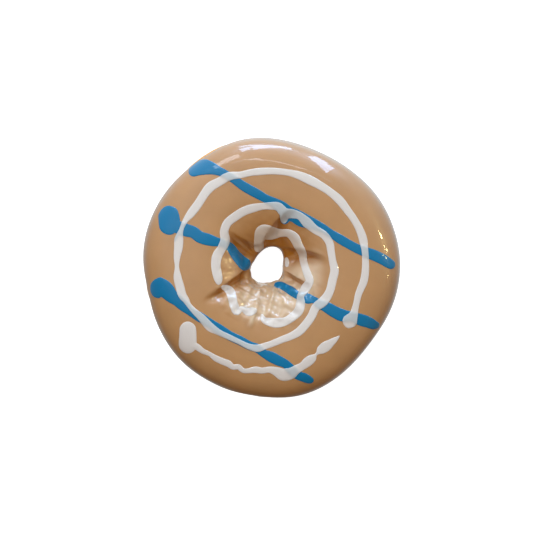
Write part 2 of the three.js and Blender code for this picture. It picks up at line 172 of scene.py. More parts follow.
WHITE_STROKES = (
    (
        (27.2, -21.6, 3.6), (28.3, -19.1, 5.4), (29.5, -16.9, 3.3), (30.4, -13.7, 2.4), (31.3, -9.7, 2.5),
        (33.4, -4.3, 2.9), (33.9, -0.7, 2.7), (33.9, 2.9, 2.5), (33.7, 5.8, 2.4), (33.1, 10.1, 3.1),
        (31.9, 13.7, 2.9), (29.9, 17.4, 2.7), (27.3, 21, 2.9), (24.5, 24.6, 3.2), (21.1, 27.5, 2.9),
        (17.4, 29.9, 3.1), (13.8, 31.8, 3.4), (10.2, 33.4, 3.1), (6.6, 34.4, 2.4), (3, 34.9, 2.4),
        (-0.6, 35.1, 2.5), (-4.2, 34.9, 2.7), (-7.8, 34.5, 2.5), (-11.4, 33.7, 2.5), (-15.4, 33.2, 3.1),
        (-18.7, 31.4, 3.2), (-22.3, 29.3, 3.6), (-24.6, 26.4, 3.2), (-26.7, 23.1, 3.2), (-29.1, 19.9, 3.1),
        (-31.3, 17, 2), (-32.7, 13.7, 1.6), (-33.5, 10.5, 3.2), (-33.7, 7.4, 3.2), (-34.2, 3.8, 2.4),
        (-34.2, 0.4, 1.6), (-34, -3.2, 2.9), (-33.1, -6.8, 3.2), (-32, -10.1, 2.9), (-30.9, -11.5, 2.4),
        (-30, -13.1, 1.8), (-28.4, -15, 2), (-25.2, -18, 2.7), (-22.3, -21.2, 3.2), (-18.7, -23.4, 2.2),
        (-15, -25.1, 2), (-11.4, -26.8, 1.8), (-7.8, -28.5, 2.2), (-5.3, -29, 2.7), (-2.4, -28.2, 2.4),
        (0.5, -27.2, 2.4), (3.4, -26, 2.5), (6.6, -24.8, 2.7), (9.7, -23.1, 3.1), (12.2, -20.5, 3.1),
        (14.3, -17.6, 3.1), (16, -14.2, 3.2), (18.5, -12.2, 3.6), (20.7, -9, 3.1), (22, -4.3, 3.1),
        (22.7, -0.7, 3.1), (22.1, 2.2, 2.7), (21.5, 5.8, 2.7), (20.9, 9.1, 2.9), (19.1, 11.8, 2.9),
        (15.5, 14.1, 3.1), (12.8, 16.5, 3.6), (10, 19, 2.7), (7.7, 19.7, 3.2), (4.8, 20, 3.6),
        (2.3, 22.3, 3.1), (-0.6, 22.5, 2.7), (-3.5, 22.3, 2.5), (-6.7, 21.7, 3.1), (-10, 20.6, 3.2),
        (-13.5, 18.4, 3.2), (-16.1, 16.2, 3.1), (-17.2, 13.3, 3.1), (-16.9, 10.1, 3.5), (-18.1, 7.2, 3.2),
        (-19.7, 4.4, 3.6), (-20.2, 1.1, 3.4), (-19.7, -2.1, 3.4), (-19.2, -4.7, 2.7), (-19.2, -6.1, 1.2),
    ),
    ((5.2, 20.3, 3), (4.6, 18.4, 3.2), (4.5, 16.4, 1.4)),
    (
        (-18.3, -6.8, 1.2), (-16.6, -7.3, 2.5), (-15, -8.6, 3.3), (-14.3, -11, 3.1), (-13.4, -14, 3.2),
        (-12.6, -15.7, 3), (-11, -14.8, 1.9), (-8.2, -15.9, 3), (-6.3, -15.4, 2.4), (-5.3, -15, 1.1),
    ),
    (
        (-3.7, -16.7, 0.8), (-2.8, -18.7, 2.2), (-0.6, -19.6, 3.1), (2.3, -19.8, 3.6), (4.9, -19.3, 3.1),
        (7.4, -17.8, 3.1), (9.8, -15.4, 3.4), (10.5, -12.7, 3.3), (10.6, -10.2, 2.5), (12.1, -7.6, 3.3),
        (13.8, -4.3, 2.9), (13.1, -2.5, 2.9), (12.3, 0, 2.7), (11.7, 2.2, 2.7), (11.3, 5.1, 2.9),
        (9.6, 8.4, 3.3), (8.3, 11, 3.6), (6, 12.7, 2.9), (3.4, 12.8, 2.9), (0.1, 12.8, 4.7),
        (-3.3, 12.9, 5.4), (-4.6, 10, 3.6), (-4.8, 7.7, 3.6), (-5.7, 6, 2.2),
    ),
    ((5.3, 3.9, 1.1), (5.7, 2.2, 1.6), (5.5, 0.4, 1.2)),
    ((-30.4, -19.3, 5.2), (-30.3, -22, 6), (-30.3, -25, 6.4), (-30.4, -28, 6.6), (-30.2, -31, 5.4)),
    (
        (-30, -28, 2.6), (-27.2, -28.4, 2.5), (-25, -30, 2), (-22.4, -31.1, 1.6), (-20.3, -32.6, 2.2),
        (-17.7, -33.8, 2.4), (-15.5, -34.7, 2.5), (-14.1, -35.8, 2), (-11.9, -35.8, 2), (-10.4, -37.1, 1.8),
        (-8.6, -37.2, 1.8), (-6.1, -36.8, 2.4), (-3.5, -37.1, 2.2), (-0.6, -36.8, 2.4), (2, -37.6, 3.6),
        (4.1, -38.6, 4.6), (6.7, -38.2, 4.4), (8.9, -36.7, 3.3), (11.1, -35.5, 2.9), (13.2, -33.8, 3.6),
        (15.2, -32.2, 2.5), (16, -31.3, 0.9), (17.6, -29.8, 3.1), (19.4, -28.5, 3.8), (21.6, -26.9, 2.7),
        (23.4, -25.5, 1.5), (24.5, -24.5, 0.3),
    ),
)

# What the glaze mirrors: the heading and rise in degrees of each corner of a card, lower left, lower
# right, upper left and upper right. A small lamp is its heading, rise and width in degrees.
WINDOWS = {
    "upper_blind": ((-15, -3), (-1, -1), (-15, 3), (-1, 5)),
    "lower_blind": ((-15, 12), (-7, 10), (-14, 26), (-8, 21)),
    "window": ((-7, 7), (14, -8), (-7, 26), (14, 4)),
    "side_window": ((24, -14), (31, 6), (20, 8), (29, 40)),
}
FAINT_WINDOWS = {
    "far_window": ((-31, 36), (-17, 32), (-31, 47), (-17, 46)),
    "shelf": ((-22, 52), (34, 54), (-22, 54), (34, 56)),
}
SMALL_LAMPS = ((70, 35, 2), (72, 32, 2), (78, 28, 2), (80, 25, 2), (94, 23, 1.2))
CARD_DISTANCE = 2000  # in millimetres
FAINT_GLOW = 0.5  # of the window's
LAMP_GLOW = 6

# The soft light, in metres: where each stands and how large it is. Both aim at the doughnut's middle.
WINDOW_LIGHT = ((-0.4, 0.3, 1.0), (0.9, 0.9))
FILL_LIGHT = ((0.7, -0.5, 0.4), (0.5, 0.5))
FILL_SHARE = 0.14  # of the window's power
LIGHT_AIM = Vector((0, 0, 0.02))

# The photograph: its side in pixels, the real width of one pixel at the ring's widest line, and where
# the middle of the picture lies over the part.
PICTURE_SIDE = 533
PIXEL = 0.37
PICTURE_CENTRE = (-1.87, 0.57)

SUGAR_IOR = 1.48


def linear(colour):
    """Turns an sRGB hex colour into the linear values that Blender's colour sockets take."""
    parts = [int(colour[start : start + 2], 16) / 255 for start in (1, 3, 5)]
    return [part / 12.92 if part <= 0.04045 else ((part + 0.055) / 1.055) ** 2.4 for part in parts]


def size_property(name, description, millimetres):
    return bpy.props.FloatProperty(
        name=name, description=description, default=millimetres * MM, unit="LENGTH"
    )


class DoughnutSizes(bpy.types.PropertyGroup):
    outline_radius: size_property("Outer Radius", "Mean radius of the ring's outer edge", 47.2)
    hole_radius: size_property("Hole Radius", "Mean radius of the hole at its narrowest", 6.3)
    crown_height: size_property("Crown Height", "Height of the iced crown over the table", 31)
    waist_height: size_property("Waist Height", "Height of the ring's widest line", 17)
    coat_thickness: size_property("Icing Thickness", "Thickness of the maple icing", 1.4)
    white_height: size_property("White Drizzle Height", "How far the white drizzle stands up", 0.25)
    blue_height: size_property("Blue Drizzle Height", "How far the blue drizzle stands up", 0.22)


def colour_property(name, description, colour):
    return bpy.props.FloatVectorProperty(
        name=name, description=description, default=linear(colour), subtype="COLOR", size=3, min=0, max=1
    )


class DoughnutColours(bpy.types.PropertyGroup):
    maple: colour_property("Maple Icing", "The maple icing on the crown", "#C89867")
    # Painted shade: a darker, more saturated maple that stands in for the shade in the puckers and down the
    # hole.
    maple_painted_shade: colour_property("Maple in Folds", "The icing deep in the puckers", "#AA6816")
    # Painted glare: a pale tint that stands in for light and mirrored haze on the slopes into the hole.
    maple_painted_glare: colour_property("Maple Film", "The pale film that ran into the hole", "#E8CEAF")
    white: colour_property("White Icing", "The white drizzle", "#ECE7E4")
    white_over_blue: colour_property("White over Blue", "The white where blue shows through", "#CDD6DC")
    # Thin icing and painted shade: the white turns greyish brown on the north side of the hole.
    white_thin_and_shaded: colour_property("Thin White", "The white where it is thin over the icing", "#D9C8B8")
    blue: colour_property("Blue Icing", "The blue drizzle", "#007DB3")
    crust: colour_property("Crust", "The fried crust", "#AE7030")
    pale_crust: colour_property("Pale Crust", "The band that stood clear of the oil", "#F0B468")


class DoughnutStage(bpy.types.PropertyGroup):
    camera_height: bpy.props.FloatProperty(
        name="Camera Height", description="Height over the ring's widest line", default=0.6, unit="LENGTH"
    )
    window_power: bpy.props.FloatProperty(
        name="Window Power", description="Power of the soft window light", default=6.3
    )
    window_glow: bpy.props.FloatProperty(
        name="Window Glow", description="Brightness of the windows that the glaze mirrors", default=14
    )


def waves(angle, table):
    return sum(height * np.cos(humps * (angle - math.radians(peak))) for humps, height, peak in table)


def smooth_step(value, low, high):
    part = np.clip((value - low) / (high - low), 0, 1)
    return part * part * (3 - 2 * part)


def angle_between(angle, other):
    return (angle - other + math.pi) % (2 * math.pi) - math.pi


class RingForm:
    """The doughnut's skin, in millimetres, by the angle round the ring and the turn round its section."""

    def __init__(self, sizes):
        self.outline_radius = sizes.outline_radius / MM
        self.hole_radius = sizes.hole_radius / MM
        self.crown_height = sizes.crown_height / MM
        self.waist_height = sizes.waist_height / MM
        self.coat_thickness = sizes.coat_thickness / MM
        angle = np.radians(np.arange(360))
        ring = self.outline(angle)[:, None] * np.stack((np.cos(angle), np.sin(angle)), -1)
        self.centre = -(ring.min(0) + ring.max(0)) / 2

    def outline(self, angle):
        return self.outline_radius + waves(angle, OUTLINE_WAVES)

    def hole(self, angle):
        return self.hole_radius + waves(angle, HOLE_WAVES)

    def smooth(self, angle, turn):
        across = np.cos(turn)
        up = np.sin(turn)
        inner = across > 0
        upper = up > 0
        power = np.where(upper, np.where(inner, FUNNEL_POWER, SHOULDER_POWER), BELLY_POWER)
        out = np.abs(across) ** (2 / power)
        part = np.where(inner, CROWN_PLACE * (1 - out), CROWN_PLACE + (1 - CROWN_PLACE) * out)
        rise = np.abs(up) ** (2 / power)
        crown = self.crown_height - self.waist_height + waves(angle, CROWN_WAVES)
        below = np.maximum(0, self.waist_height - BELLY_DROP * rise)
        z = np.where(upper, self.waist_height + crown * rise, below)
        reach = self.hole(angle) * (1 - part) + self.outline(angle) * part
        x = HOLE_CENTRE[0] * (1 - part) + self.centre[0] * part + reach * np.cos(angle)
        y = HOLE_CENTRE[1] * (1 - part) + self.centre[1] * part + reach * np.sin(angle)
        return np.stack((x, y, z), -1)

    def normal(self, angle, turn):
        small = 0.0035  # radians to either side, over which the slope is taken
        round_way = self.smooth(angle + small, turn) - self.smooth(angle - small, turn)
        over_way = self.smooth(angle, turn + small) - self.smooth(angle, turn - small)
        normal = np.cross(over_way, round_way)
        return normal / np.linalg.norm(normal, axis=-1, keepdims=True)

    def from_wall(self, angle, turn):
        """How far from the hole's wall each place on the slope into the hole lies."""
        across = np.clip(np.cos(turn), 0, 1)
        part = CROWN_PLACE * (1 - across ** (2 / FUNNEL_POWER))
        return part * (self.outline(angle) - self.hole(angle))

    def pucker(self, angle, turn):
        """How deep the puckers are, and how far each place lies on one of their flat, shaded sides."""
        along = self.from_wall(angle, turn)
        total = 0
        shaded = 0
        for pucker in PUCKERS:
            share = np.minimum(1, along / pucker.length)
            line = np.radians(pucker.near + (pucker.far - pucker.near) * share)
            side = angle_between(angle, line) * (self.hole(angle) + along) * pucker.flat_side
            flat_width = pucker.flat_near + (pucker.flat_far - pucker.flat_near) * share
            to_ridge = RIDGE_ROUNDNESS * np.logaddexp(0, (1 - side / flat_width) / RIDGE_ROUNDNESS)
            flat = 1 - np.maximum(0, 1 - to_ridge) ** FLAT_CURVE
            soft = np.exp(VALLEY_ROUNDNESS - np.hypot(side / pucker.soft_width, VALLEY_ROUNDNESS))
            slope = np.where(side > 0, flat, soft)
            fade = smooth_step(along, 0, PUCKER_START)
            fade = fade * (1 - smooth_step(along, PUCKER_HOLD * pucker.length, pucker.length))
            total = total + pucker.depth * slope * fade
            up_flat = side / flat_width
            on_flat = smooth_step(up_flat, 0, 0.3) * (1 - smooth_step(up_flat, 0.93, 1.05))
            shaded = np.maximum(shaded, on_flat * fade * min(1, pucker.depth / FULL_PUCKER) ** 2)
        # Only the funnel over the hole is puckered. The dough's underside is smooth.
        inside = (turn > 0) & (turn < math.pi / 2)
        return np.where(inside, total, 0), np.where(inside, shaded, 0)

    def skin(self, angle, turn, depth=0):
        inward = self.pucker(angle, turn)[0] + depth
        return self.smooth(angle, turn) - self.normal(angle, turn) * np.asarray(inward)[..., None]

    def edge_lift(self, angle):
        return sum(
            height * np.exp(-((angle_between(angle, math.radians(place)) / math.radians(half)) ** 2))
            for place, half, height in BARE_SPOTS
        )

    def coat_end(self, angle):
        """How far round the section the icing runs, in radians."""
        return np.radians(COAT_OUTER_EDGE + waves(angle, COAT_EDGE_WAVES) - self.edge_lift(angle))

    def ripple(self, angle, turn):
        """The small ripples of icing that set while it ran down the south slope into the hole."""
        points = self.smooth(angle, turn)
        draw = np.random.default_rng(RIPPLE_SEED)
        ways = draw.normal(size=(RIPPLE_WAVES, 3))
        ways /= np.linalg.norm(ways, axis=1, keepdims=True)
        lengths = RIPPLE_LENGTH * draw.uniform(*RIPPLE_SPREAD, RIPPLE_WAVES)
        starts = draw.uniform(0, 2 * math.pi, RIPPLE_WAVES)
        total = 0
        for way, length, start in zip(ways, lengths, starts):
            total = total + length / RIPPLE_LENGTH * np.sin(2 * math.pi * (points @ way) / length + start)
        return RIPPLE_HEIGHT * total / math.sqrt(RIPPLE_WAVES) * self.rippled(angle, turn)

    def run(self, angle, turn):
        """How near each place is to the crest of a run of icing, from 0 to 1."""
        points = self.smooth(angle, turn)
        total = 0
        for start_x, start_y, end_x, end_y in RUNS:
            length = math.hypot(end_x - start_x, end_y - start_y)
            way_x = (end_x - start_x) / length
            way_y = (end_y - start_y) / length
            along = (points[..., 0] - start_x) * way_x + (points[..., 1] - start_y) * way_y
            side = (points[..., 1] - start_y) * way_x - (points[..., 0] - start_x) * way_y
            fade = smooth_step(along, 0, RUN_FADE) * (1 - smooth_step(along, length - RUN_FADE, length))
            total = total + fade * (np.cos(turn) > 0) * np.exp(-((side / RUN_WIDTH) ** 2))
        return total

    def rippled(self, angle, turn):
        """How strongly each place is rippled: most on the south slope, and a little all round the hole."""
        inside = smooth_step(np.cos(turn), 0.15, 0.5) * (turn > 0)
        return inside * (0.2 + 0.8 * smooth_step(-np.sin(angle), 0.1, 0.7))

    def painted_glare(self, angle, turn):
        """How strongly each place on the south and east sides of the hole is painted pale, as glare."""
        along = self.from_wall(angle, turn)
        thickens = 0.6 + 0.4 * smooth_step(along, 0, 5)
        thins = 1 - smooth_step(along, *GLARE_REACH)
        near_middle = smooth_step(np.cos(angle - math.radians(GLARE_ANGLE)), 0, 0.55)
        return (turn > 0) * thickens * thins * near_middle

    def coat_skin(self, angle, turn, depth=0):
        """The icing's outer skin, with its ripples and the bead along its lower edge."""
        width = math.radians(BEAD_WIDTH)
        low = smooth_step(turn, math.radians(THINNING_FROM), math.radians(COAT_OUTER_EDGE))
        bare = self.edge_lift(angle) / max(height for _, _, height in BARE_SPOTS)
        bead = BEAD_HEIGHT * (1 - bare) * np.exp(-(((self.coat_end(angle) - turn - width) / width) ** 2))
        thinning = BARE_THINNING * low * bare * (1 - depth / self.coat_thickness)
        outward = bead + self.ripple(angle, turn) + RUN_HEIGHT * self.run(angle, turn) - thinning
        return self.skin(angle, turn, depth - outward)

    def angles_over(self, x, y):
        """The angle and turn of the smooth upper skin over a place in plan."""
        part = np.full_like(x, 0.5)
        for _ in range(SPOKE_PASSES):
            dx = x - (HOLE_CENTRE[0] * (1 - part) + self.centre[0] * part)
            dy = y - (HOLE_CENTRE[1] * (1 - part) + self.centre[1] * part)
            angle = np.arctan2(dy, dx)
            part = (np.hypot(dx, dy) - self.hole(angle)) / (self.outline(angle) - self.hole(angle))
            part = np.clip(part, *SPOKE_LIMITS)
        funnel = np.arccos(np.clip(1 - part / CROWN_PLACE, 0, 1) ** (FUNNEL_POWER / 2))
        out = np.clip((part - CROWN_PLACE) / (1 - CROWN_PLACE), 0, 1)
        shoulder = math.pi - np.arccos(out ** (SHOULDER_POWER / 2))
        return angle, np.where(part < CROWN_PLACE, funnel, shoulder)

    def drape(self, x, y, height):
        """Points that stand a height over the icing, at places in plan."""
        aim_x = x.copy()
        aim_y = y.copy()
        for _ in range(DRAPE_PASSES):
            angle, turn = self.angles_over(aim_x, aim_y)
            point = self.coat_skin(angle, turn)
            aim_x += DRAPE_STEP * (x - point[..., 0])
            aim_y += DRAPE_STEP * (y - point[..., 1])
        angle, turn = self.angles_over(aim_x, aim_y)
        return self.coat_skin(angle, turn) + self.normal(angle, turn) * height[..., None]


def ring_form(context):
    return RingForm(context.scene.doughnut_sizes)


def deselect_all():
    if bpy.context.object and bpy.context.object.mode != "OBJECT":
        bpy.ops.object.mode_set(mode="OBJECT")
    bpy.ops.object.select_all(action="DESELECT")


def vertex_places(piece):
    places = np.empty(len(piece.data.vertices) * 3)
    piece.data.vertices.foreach_get("co", places)
    return places.reshape(-1, 3)


def lay_vertices(piece, places):
    """Moves every vertex of a piece to its place, given in millimetres."""
    piece.data.vertices.foreach_set("co", (places * MM).ravel())
    piece.data.update()


def turn_faces_out(piece):
    deselect_all()
    piece.select_set(True)
    bpy.context.view_layer.objects.active = piece
    bpy.ops.object.mode_set(mode="EDIT")
    bpy.ops.mesh.select_all(action="SELECT")
    bpy.ops.mesh.normals_make_consistent(inside=False)
    bpy.ops.object.mode_set(mode="OBJECT")
    bpy.ops.object.shade_smooth()


def torus_blank(name, round_count, section_count):
    """A torus primitive, with each vertex's angle round the ring and turn round the section."""
    deselect_all()
    bpy.ops.mesh.primitive_torus_add(
        major_segments=round_count, minor_segments=section_count, major_radius=1.0, minor_radius=0.25
    )
    ring = bpy.context.object
    ring.name = name
    ring.data.name = name
    places = vertex_places(ring)
    angle = np.arctan2(places[:, 1], places[:, 0])
    turn = np.arctan2(places[:, 2], 1.0 - np.hypot(places[:, 0], places[:, 1])) % (2 * math.pi)
    return ring, angle, turn


def store_values(piece, name, values, kind="FLOAT"):
    """Keeps one number or vector for each vertex as an attribute that a material reads."""
    attribute = piece.data.attributes.new(name, kind, "POINT")
    field = "value" if kind == "FLOAT" else "vector"
    attribute.data.foreach_set(field, np.asarray(values, dtype=np.float32).ravel())


def set_inputs(node, **inputs):
    for key, value in inputs.items():
        node.inputs[key.replace("_", " ")].default_value = value


def add_node(tree, kind, settings=None, feeds=None, **inputs):
    """Adds a shader node, with its settings, what feeds its sockets, and its named inputs."""
    node = tree.nodes.new(kind)
    for key, value in (settings or {}).items():
        setattr(node, key, value)
    set_inputs(node, **inputs)
    for key, feed in (feeds or {}).items():
        if isinstance(feed, bpy.types.NodeSocket):
            tree.links.new(feed, node.inputs[key])
        else:
            node.inputs[key].default_value = feed
    return node


def new_material(name):
    material = bpy.data.materials.new(name)
    material.use_nodes = True
    return material, material.node_tree.nodes["Principled BSDF"]


def set_maple_icing(colours):
    """Maple fondant: sugar, butter and maple syrup poured warm and set to an opaque, wet-looking skin."""
    material, surface = new_material("set_maple_fondant")
    tree = material.node_tree
    # A length of 1 in the flow attribute is one radius: of the puckers, of the rim and of the section, in mm.
    pucker_radius = 14
    rim_radius = 47
    section_radius = 18
    wrinkle_spacing = 1.5
    line_spacing = 1.3
    line_length = 20
    place = add_node(tree, "ShaderNodeTexCoord").outputs["Object"]
    mottle = add_node(
        tree, "ShaderNodeTexNoise", feeds={"Vector": place}, Scale=1 / (9 * MM), Detail=3.0, Roughness=0.5
    )
    # Where it ran down the shaded side of a pucker it is drawn into wrinkles, with painted highlights on top.
    flow = add_node(tree, "ShaderNodeAttribute", {"attribute_name": "flow"})
    wrinkles_round = pucker_radius / wrinkle_spacing
    drawn_out = add_node(
        tree, "ShaderNodeVectorMath", {"operation": "MULTIPLY"},
        {0: flow.outputs["Vector"], 1: (wrinkles_round, wrinkles_round, 1.0)},
    )
    wrinkles = add_node(
        tree, "ShaderNodeTexNoise", feeds={"Vector": drawn_out.outputs[0]}, Scale=1.0, Detail=2.0
    )
    # Painted highlight: the wrinkle crests are painted paler, taking off some of the painted shade.
    crests = add_node(
        tree, "ShaderNodeMapRange", feeds={"Value": wrinkles.outputs["Fac"]},
        From_Min=0.48, From_Max=0.66, To_Min=0.0, To_Max=0.7,
    )
    shaded = add_node(tree, "ShaderNodeAttribute", {"attribute_name": "shaded"})
    paler = add_node(
        tree, "ShaderNodeMath", {"operation": "MULTIPLY"},
        {0: crests.outputs["Result"], 1: shaded.outputs["Fac"]},
    )
    # Painted shade: the darker maple is mixed in deep in the puckers, on their shaded sides and down the
    # hole.
    painted_shade = add_node(tree, "ShaderNodeAttribute", {"attribute_name": "painted_shade"})
    depth = add_node(
        tree, "ShaderNodeMath", {"operation": "SUBTRACT"}, {0: painted_shade.outputs["Fac"], 1: paler.outputs[0]}
    )
    tone = add_node(
        tree, "ShaderNodeMix", {"data_type": "RGBA"},
        {0: depth.outputs[0], 6: (*colours.maple, 1), 7: (*colours.maple_painted_shade, 1)},
    )
    # Painted glare: a pale tint where light and mirrored windows haze the slopes into the hole.
    painted_glare = add_node(tree, "ShaderNodeAttribute", {"attribute_name": "painted_glare"})
    glare_tinted = add_node(
        tree, "ShaderNodeMix", {"data_type": "RGBA"},
        {0: painted_glare.outputs["Fac"], 6: tone.outputs[2], 7: (*colours.maple_painted_glare, 1)},
    )
    shade = add_node(
        tree, "ShaderNodeMapRange", feeds={"Value": mottle.outputs["Fac"]},
        From_Min=0.3, From_Max=0.7, To_Min=0.96, To_Max=1.04,
    )
    varied = add_node(
        tree, "ShaderNodeVectorMath", {"operation": "SCALE"},
        {0: glare_tinted.outputs[2], "Scale": shade.outputs["Result"]},
    )
    tree.links.new(varied.outputs[0], surface.inputs["Base Color"])
    # The icing set while it ran, in faint lines round the ring.
    lines_round = rim_radius / line_length
    stretched = add_node(
        tree, "ShaderNodeVectorMath", {"operation": "MULTIPLY"},
        {0: flow.outputs["Vector"], 1: (lines_round, lines_round, section_radius / line_spacing)},
    )
    lines = add_node(
        tree, "ShaderNodeTexNoise", feeds={"Vector": stretched.outputs[0]}, Scale=1.0, Detail=1.0
    )
    bump = add_node(tree, "ShaderNodeBump", feeds={"Height": lines.outputs["Fac"]}, Distance=0.03 * MM)
    creased = add_node(
        tree, "ShaderNodeBump",
        feeds={
            "Height": wrinkles.outputs["Fac"],
            "Normal": bump.outputs["Normal"],
            "Strength": shaded.outputs["Fac"],
        },
        Distance=0.2 * MM,
    )
    tree.links.new(creased.outputs["Normal"], surface.inputs["Normal"])
    tree.links.new(creased.outputs["Normal"], surface.inputs["Coat Normal"])
    # The wrinkled sides of the puckers are duller than the smooth skin round them.
    gloss = add_node(
        tree, "ShaderNodeMapRange", feeds={"Value": shaded.outputs["Fac"]}, To_Min=1.0, To_Max=0.3
    )
    tree.links.new(gloss.outputs["Result"], surface.inputs["Coat Weight"])
    set_inputs(surface, Roughness=0.32, IOR=SUGAR_IOR, Coat_Roughness=0.015, Coat_IOR=SUGAR_IOR)
    set_inputs(
        surface, Subsurface_Weight=0.12, Subsurface_Radius=(1.0, 0.55, 0.25), Subsurface_Scale=1.2 * MM
    )
    return material


def drizzle_icing(name, colour):
    """Poured fondant: icing sugar and water, glossy, and slightly translucent at its thin edges."""
    material, surface = new_material(name)
    tree = material.node_tree
    set_inputs(surface, Base_Color=(*colour, 1), Roughness=0.3, IOR=SUGAR_IOR, Specular_IOR_Level=0.25)
    set_inputs(surface, Coat_Weight=0.8, Coat_Roughness=0.04, Coat_IOR=SUGAR_IOR)
    # It was drawn out as it was poured, in streaks about 0.6 mm apart and 4 mm long.
    along = add_node(tree, "ShaderNodeAttribute", {"attribute_name": "along"})
    drawn_out = add_node(
        tree, "ShaderNodeVectorMath", {"operation": "MULTIPLY"},
        {0: along.outputs["Vector"], 1: (1 / 4, 1 / 0.6, 1)},
    )
    streaks = add_node(
        tree, "ShaderNodeTexNoise", feeds={"Vector": drawn_out.outputs[0]}, Scale=1.0, Detail=2.0
    )
    bump = add_node(tree, "ShaderNodeBump", feeds={"Height": streaks.outputs["Fac"]}, Distance=0.06 * MM)
    tree.links.new(bump.outputs["Normal"], surface.inputs["Normal"])
    return material


def white_icing(colours):
    material = drizzle_icing("white_poured_fondant", colours.white)
    tree = material.node_tree
    surface = tree.nodes["Principled BSDF"]
    over = add_node(tree, "ShaderNodeAttribute", {"attribute_name": "over_blue"})
    tone = add_node(
        tree, "ShaderNodeMix", {"data_type": "RGBA"},
        {0: over.outputs["Fac"], 6: (*colours.white, 1), 7: (*colours.white_over_blue, 1)},
    )
    # Thin icing and painted shade: the white turns greyish brown on the north side of the hole.
    thin = add_node(tree, "ShaderNodeAttribute", {"attribute_name": "thin"})
    through = add_node(
        tree, "ShaderNodeMix", {"data_type": "RGBA"},
        {0: thin.outputs["Fac"], 6: tone.outputs[2], 7: (*colours.white_thin_and_shaded, 1)},
    )
    tree.links.new(through.outputs[2], surface.inputs["Base Color"])
    return material


def fried_crust(colours):
    """Yeast dough fried in oil: a thin golden brown crust, paler round the widest line, where it floated."""
    material, surface = new_material("fried_yeast_crust")
    tree = material.node_tree
    place = add_node(tree, "ShaderNodeTexCoord").outputs["Object"]
    pale = add_node(tree, "ShaderNodeAttribute", {"attribute_name": "pale_band"})
    tone = add_node(
        tree, "ShaderNodeMix", {"data_type": "RGBA"},
        {0: pale.outputs["Fac"], 6: (*colours.crust, 1), 7: (*colours.pale_crust, 1)},
    )
    blotch = add_node(
        tree, "ShaderNodeTexNoise", feeds={"Vector": place}, Scale=1 / (4 * MM), Detail=6.0, Roughness=0.65
    )
    shade = add_node(
        tree, "ShaderNodeMapRange", feeds={"Value": blotch.outputs["Fac"]},
        From_Min=0.3, From_Max=0.7, To_Min=0.74, To_Max=1.16,
    )
    varied = add_node(
        tree, "ShaderNodeVectorMath", {"operation": "SCALE"},
        {0: tone.outputs[2], "Scale": shade.outputs["Result"]},
    )
    wrinkle = add_node(
        tree, "ShaderNodeTexNoise", feeds={"Vector": place}, Scale=1 / (0.9 * MM), Detail=4.0, Roughness=0.65
    )
    bump = add_node(
        tree, "ShaderNodeBump", feeds={"Height": wrinkle.outputs["Fac"]}, Strength=0.8, Distance=0.25 * MM
    )
    tree.links.new(varied.outputs[0], surface.inputs["Base Color"])
    tree.links.new(bump.outputs["Normal"], surface.inputs["Normal"])
    set_inputs(surface, Roughness=0.5)
    return material


def finish_piece(piece, material, slot, *nodes):
    piece.data.materials.clear()
    piece.data.materials.append(material)
    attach(piece, "root")
    if nodes:
        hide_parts(*nodes)


class DOUGHNUT_OT_fried_dough(bpy.types.Operator):
    """Model the fried dough ring, with its flattened underside and the pale band round its widest line"""

    bl_idname = "doughnut.fried_dough"
    bl_label = "Fried Dough Ring"
    bl_options = {"REGISTER", "UNDO"}

    def execute(self, context):
        form = ring_form(context)
        ring, angle, turn = torus_blank("fried_dough", *DOUGH_STEPS)
        start = math.radians(COAT_INNER_EDGE)
        turn = np.where(turn > 2 * math.pi + start, turn - 2 * math.pi, turn)
        end = form.coat_end(angle)
        beyond = np.where(turn > end, np.minimum(turn - end, 2 * math.pi + start - turn), 0)
        ease = smooth_step(beyond, 0, math.radians(EASE_OUT))
        depth = (form.coat_thickness + COAT_GAP) * (1 - ease)
        places = form.skin(angle, turn, depth)
        places[:, 2] = np.maximum(0, places[:, 2])
        lay_vertices(ring, places)
        height, half_width = PALE_BAND
        store_values(ring, "pale_band", np.exp(-(((places[:, 2] - height) / half_width) ** 2)))
        turn_faces_out(ring)
        finish_piece(ring, fried_crust(context.scene.doughnut_colours), "dough", "dough_ring")
        return {"FINISHED"}


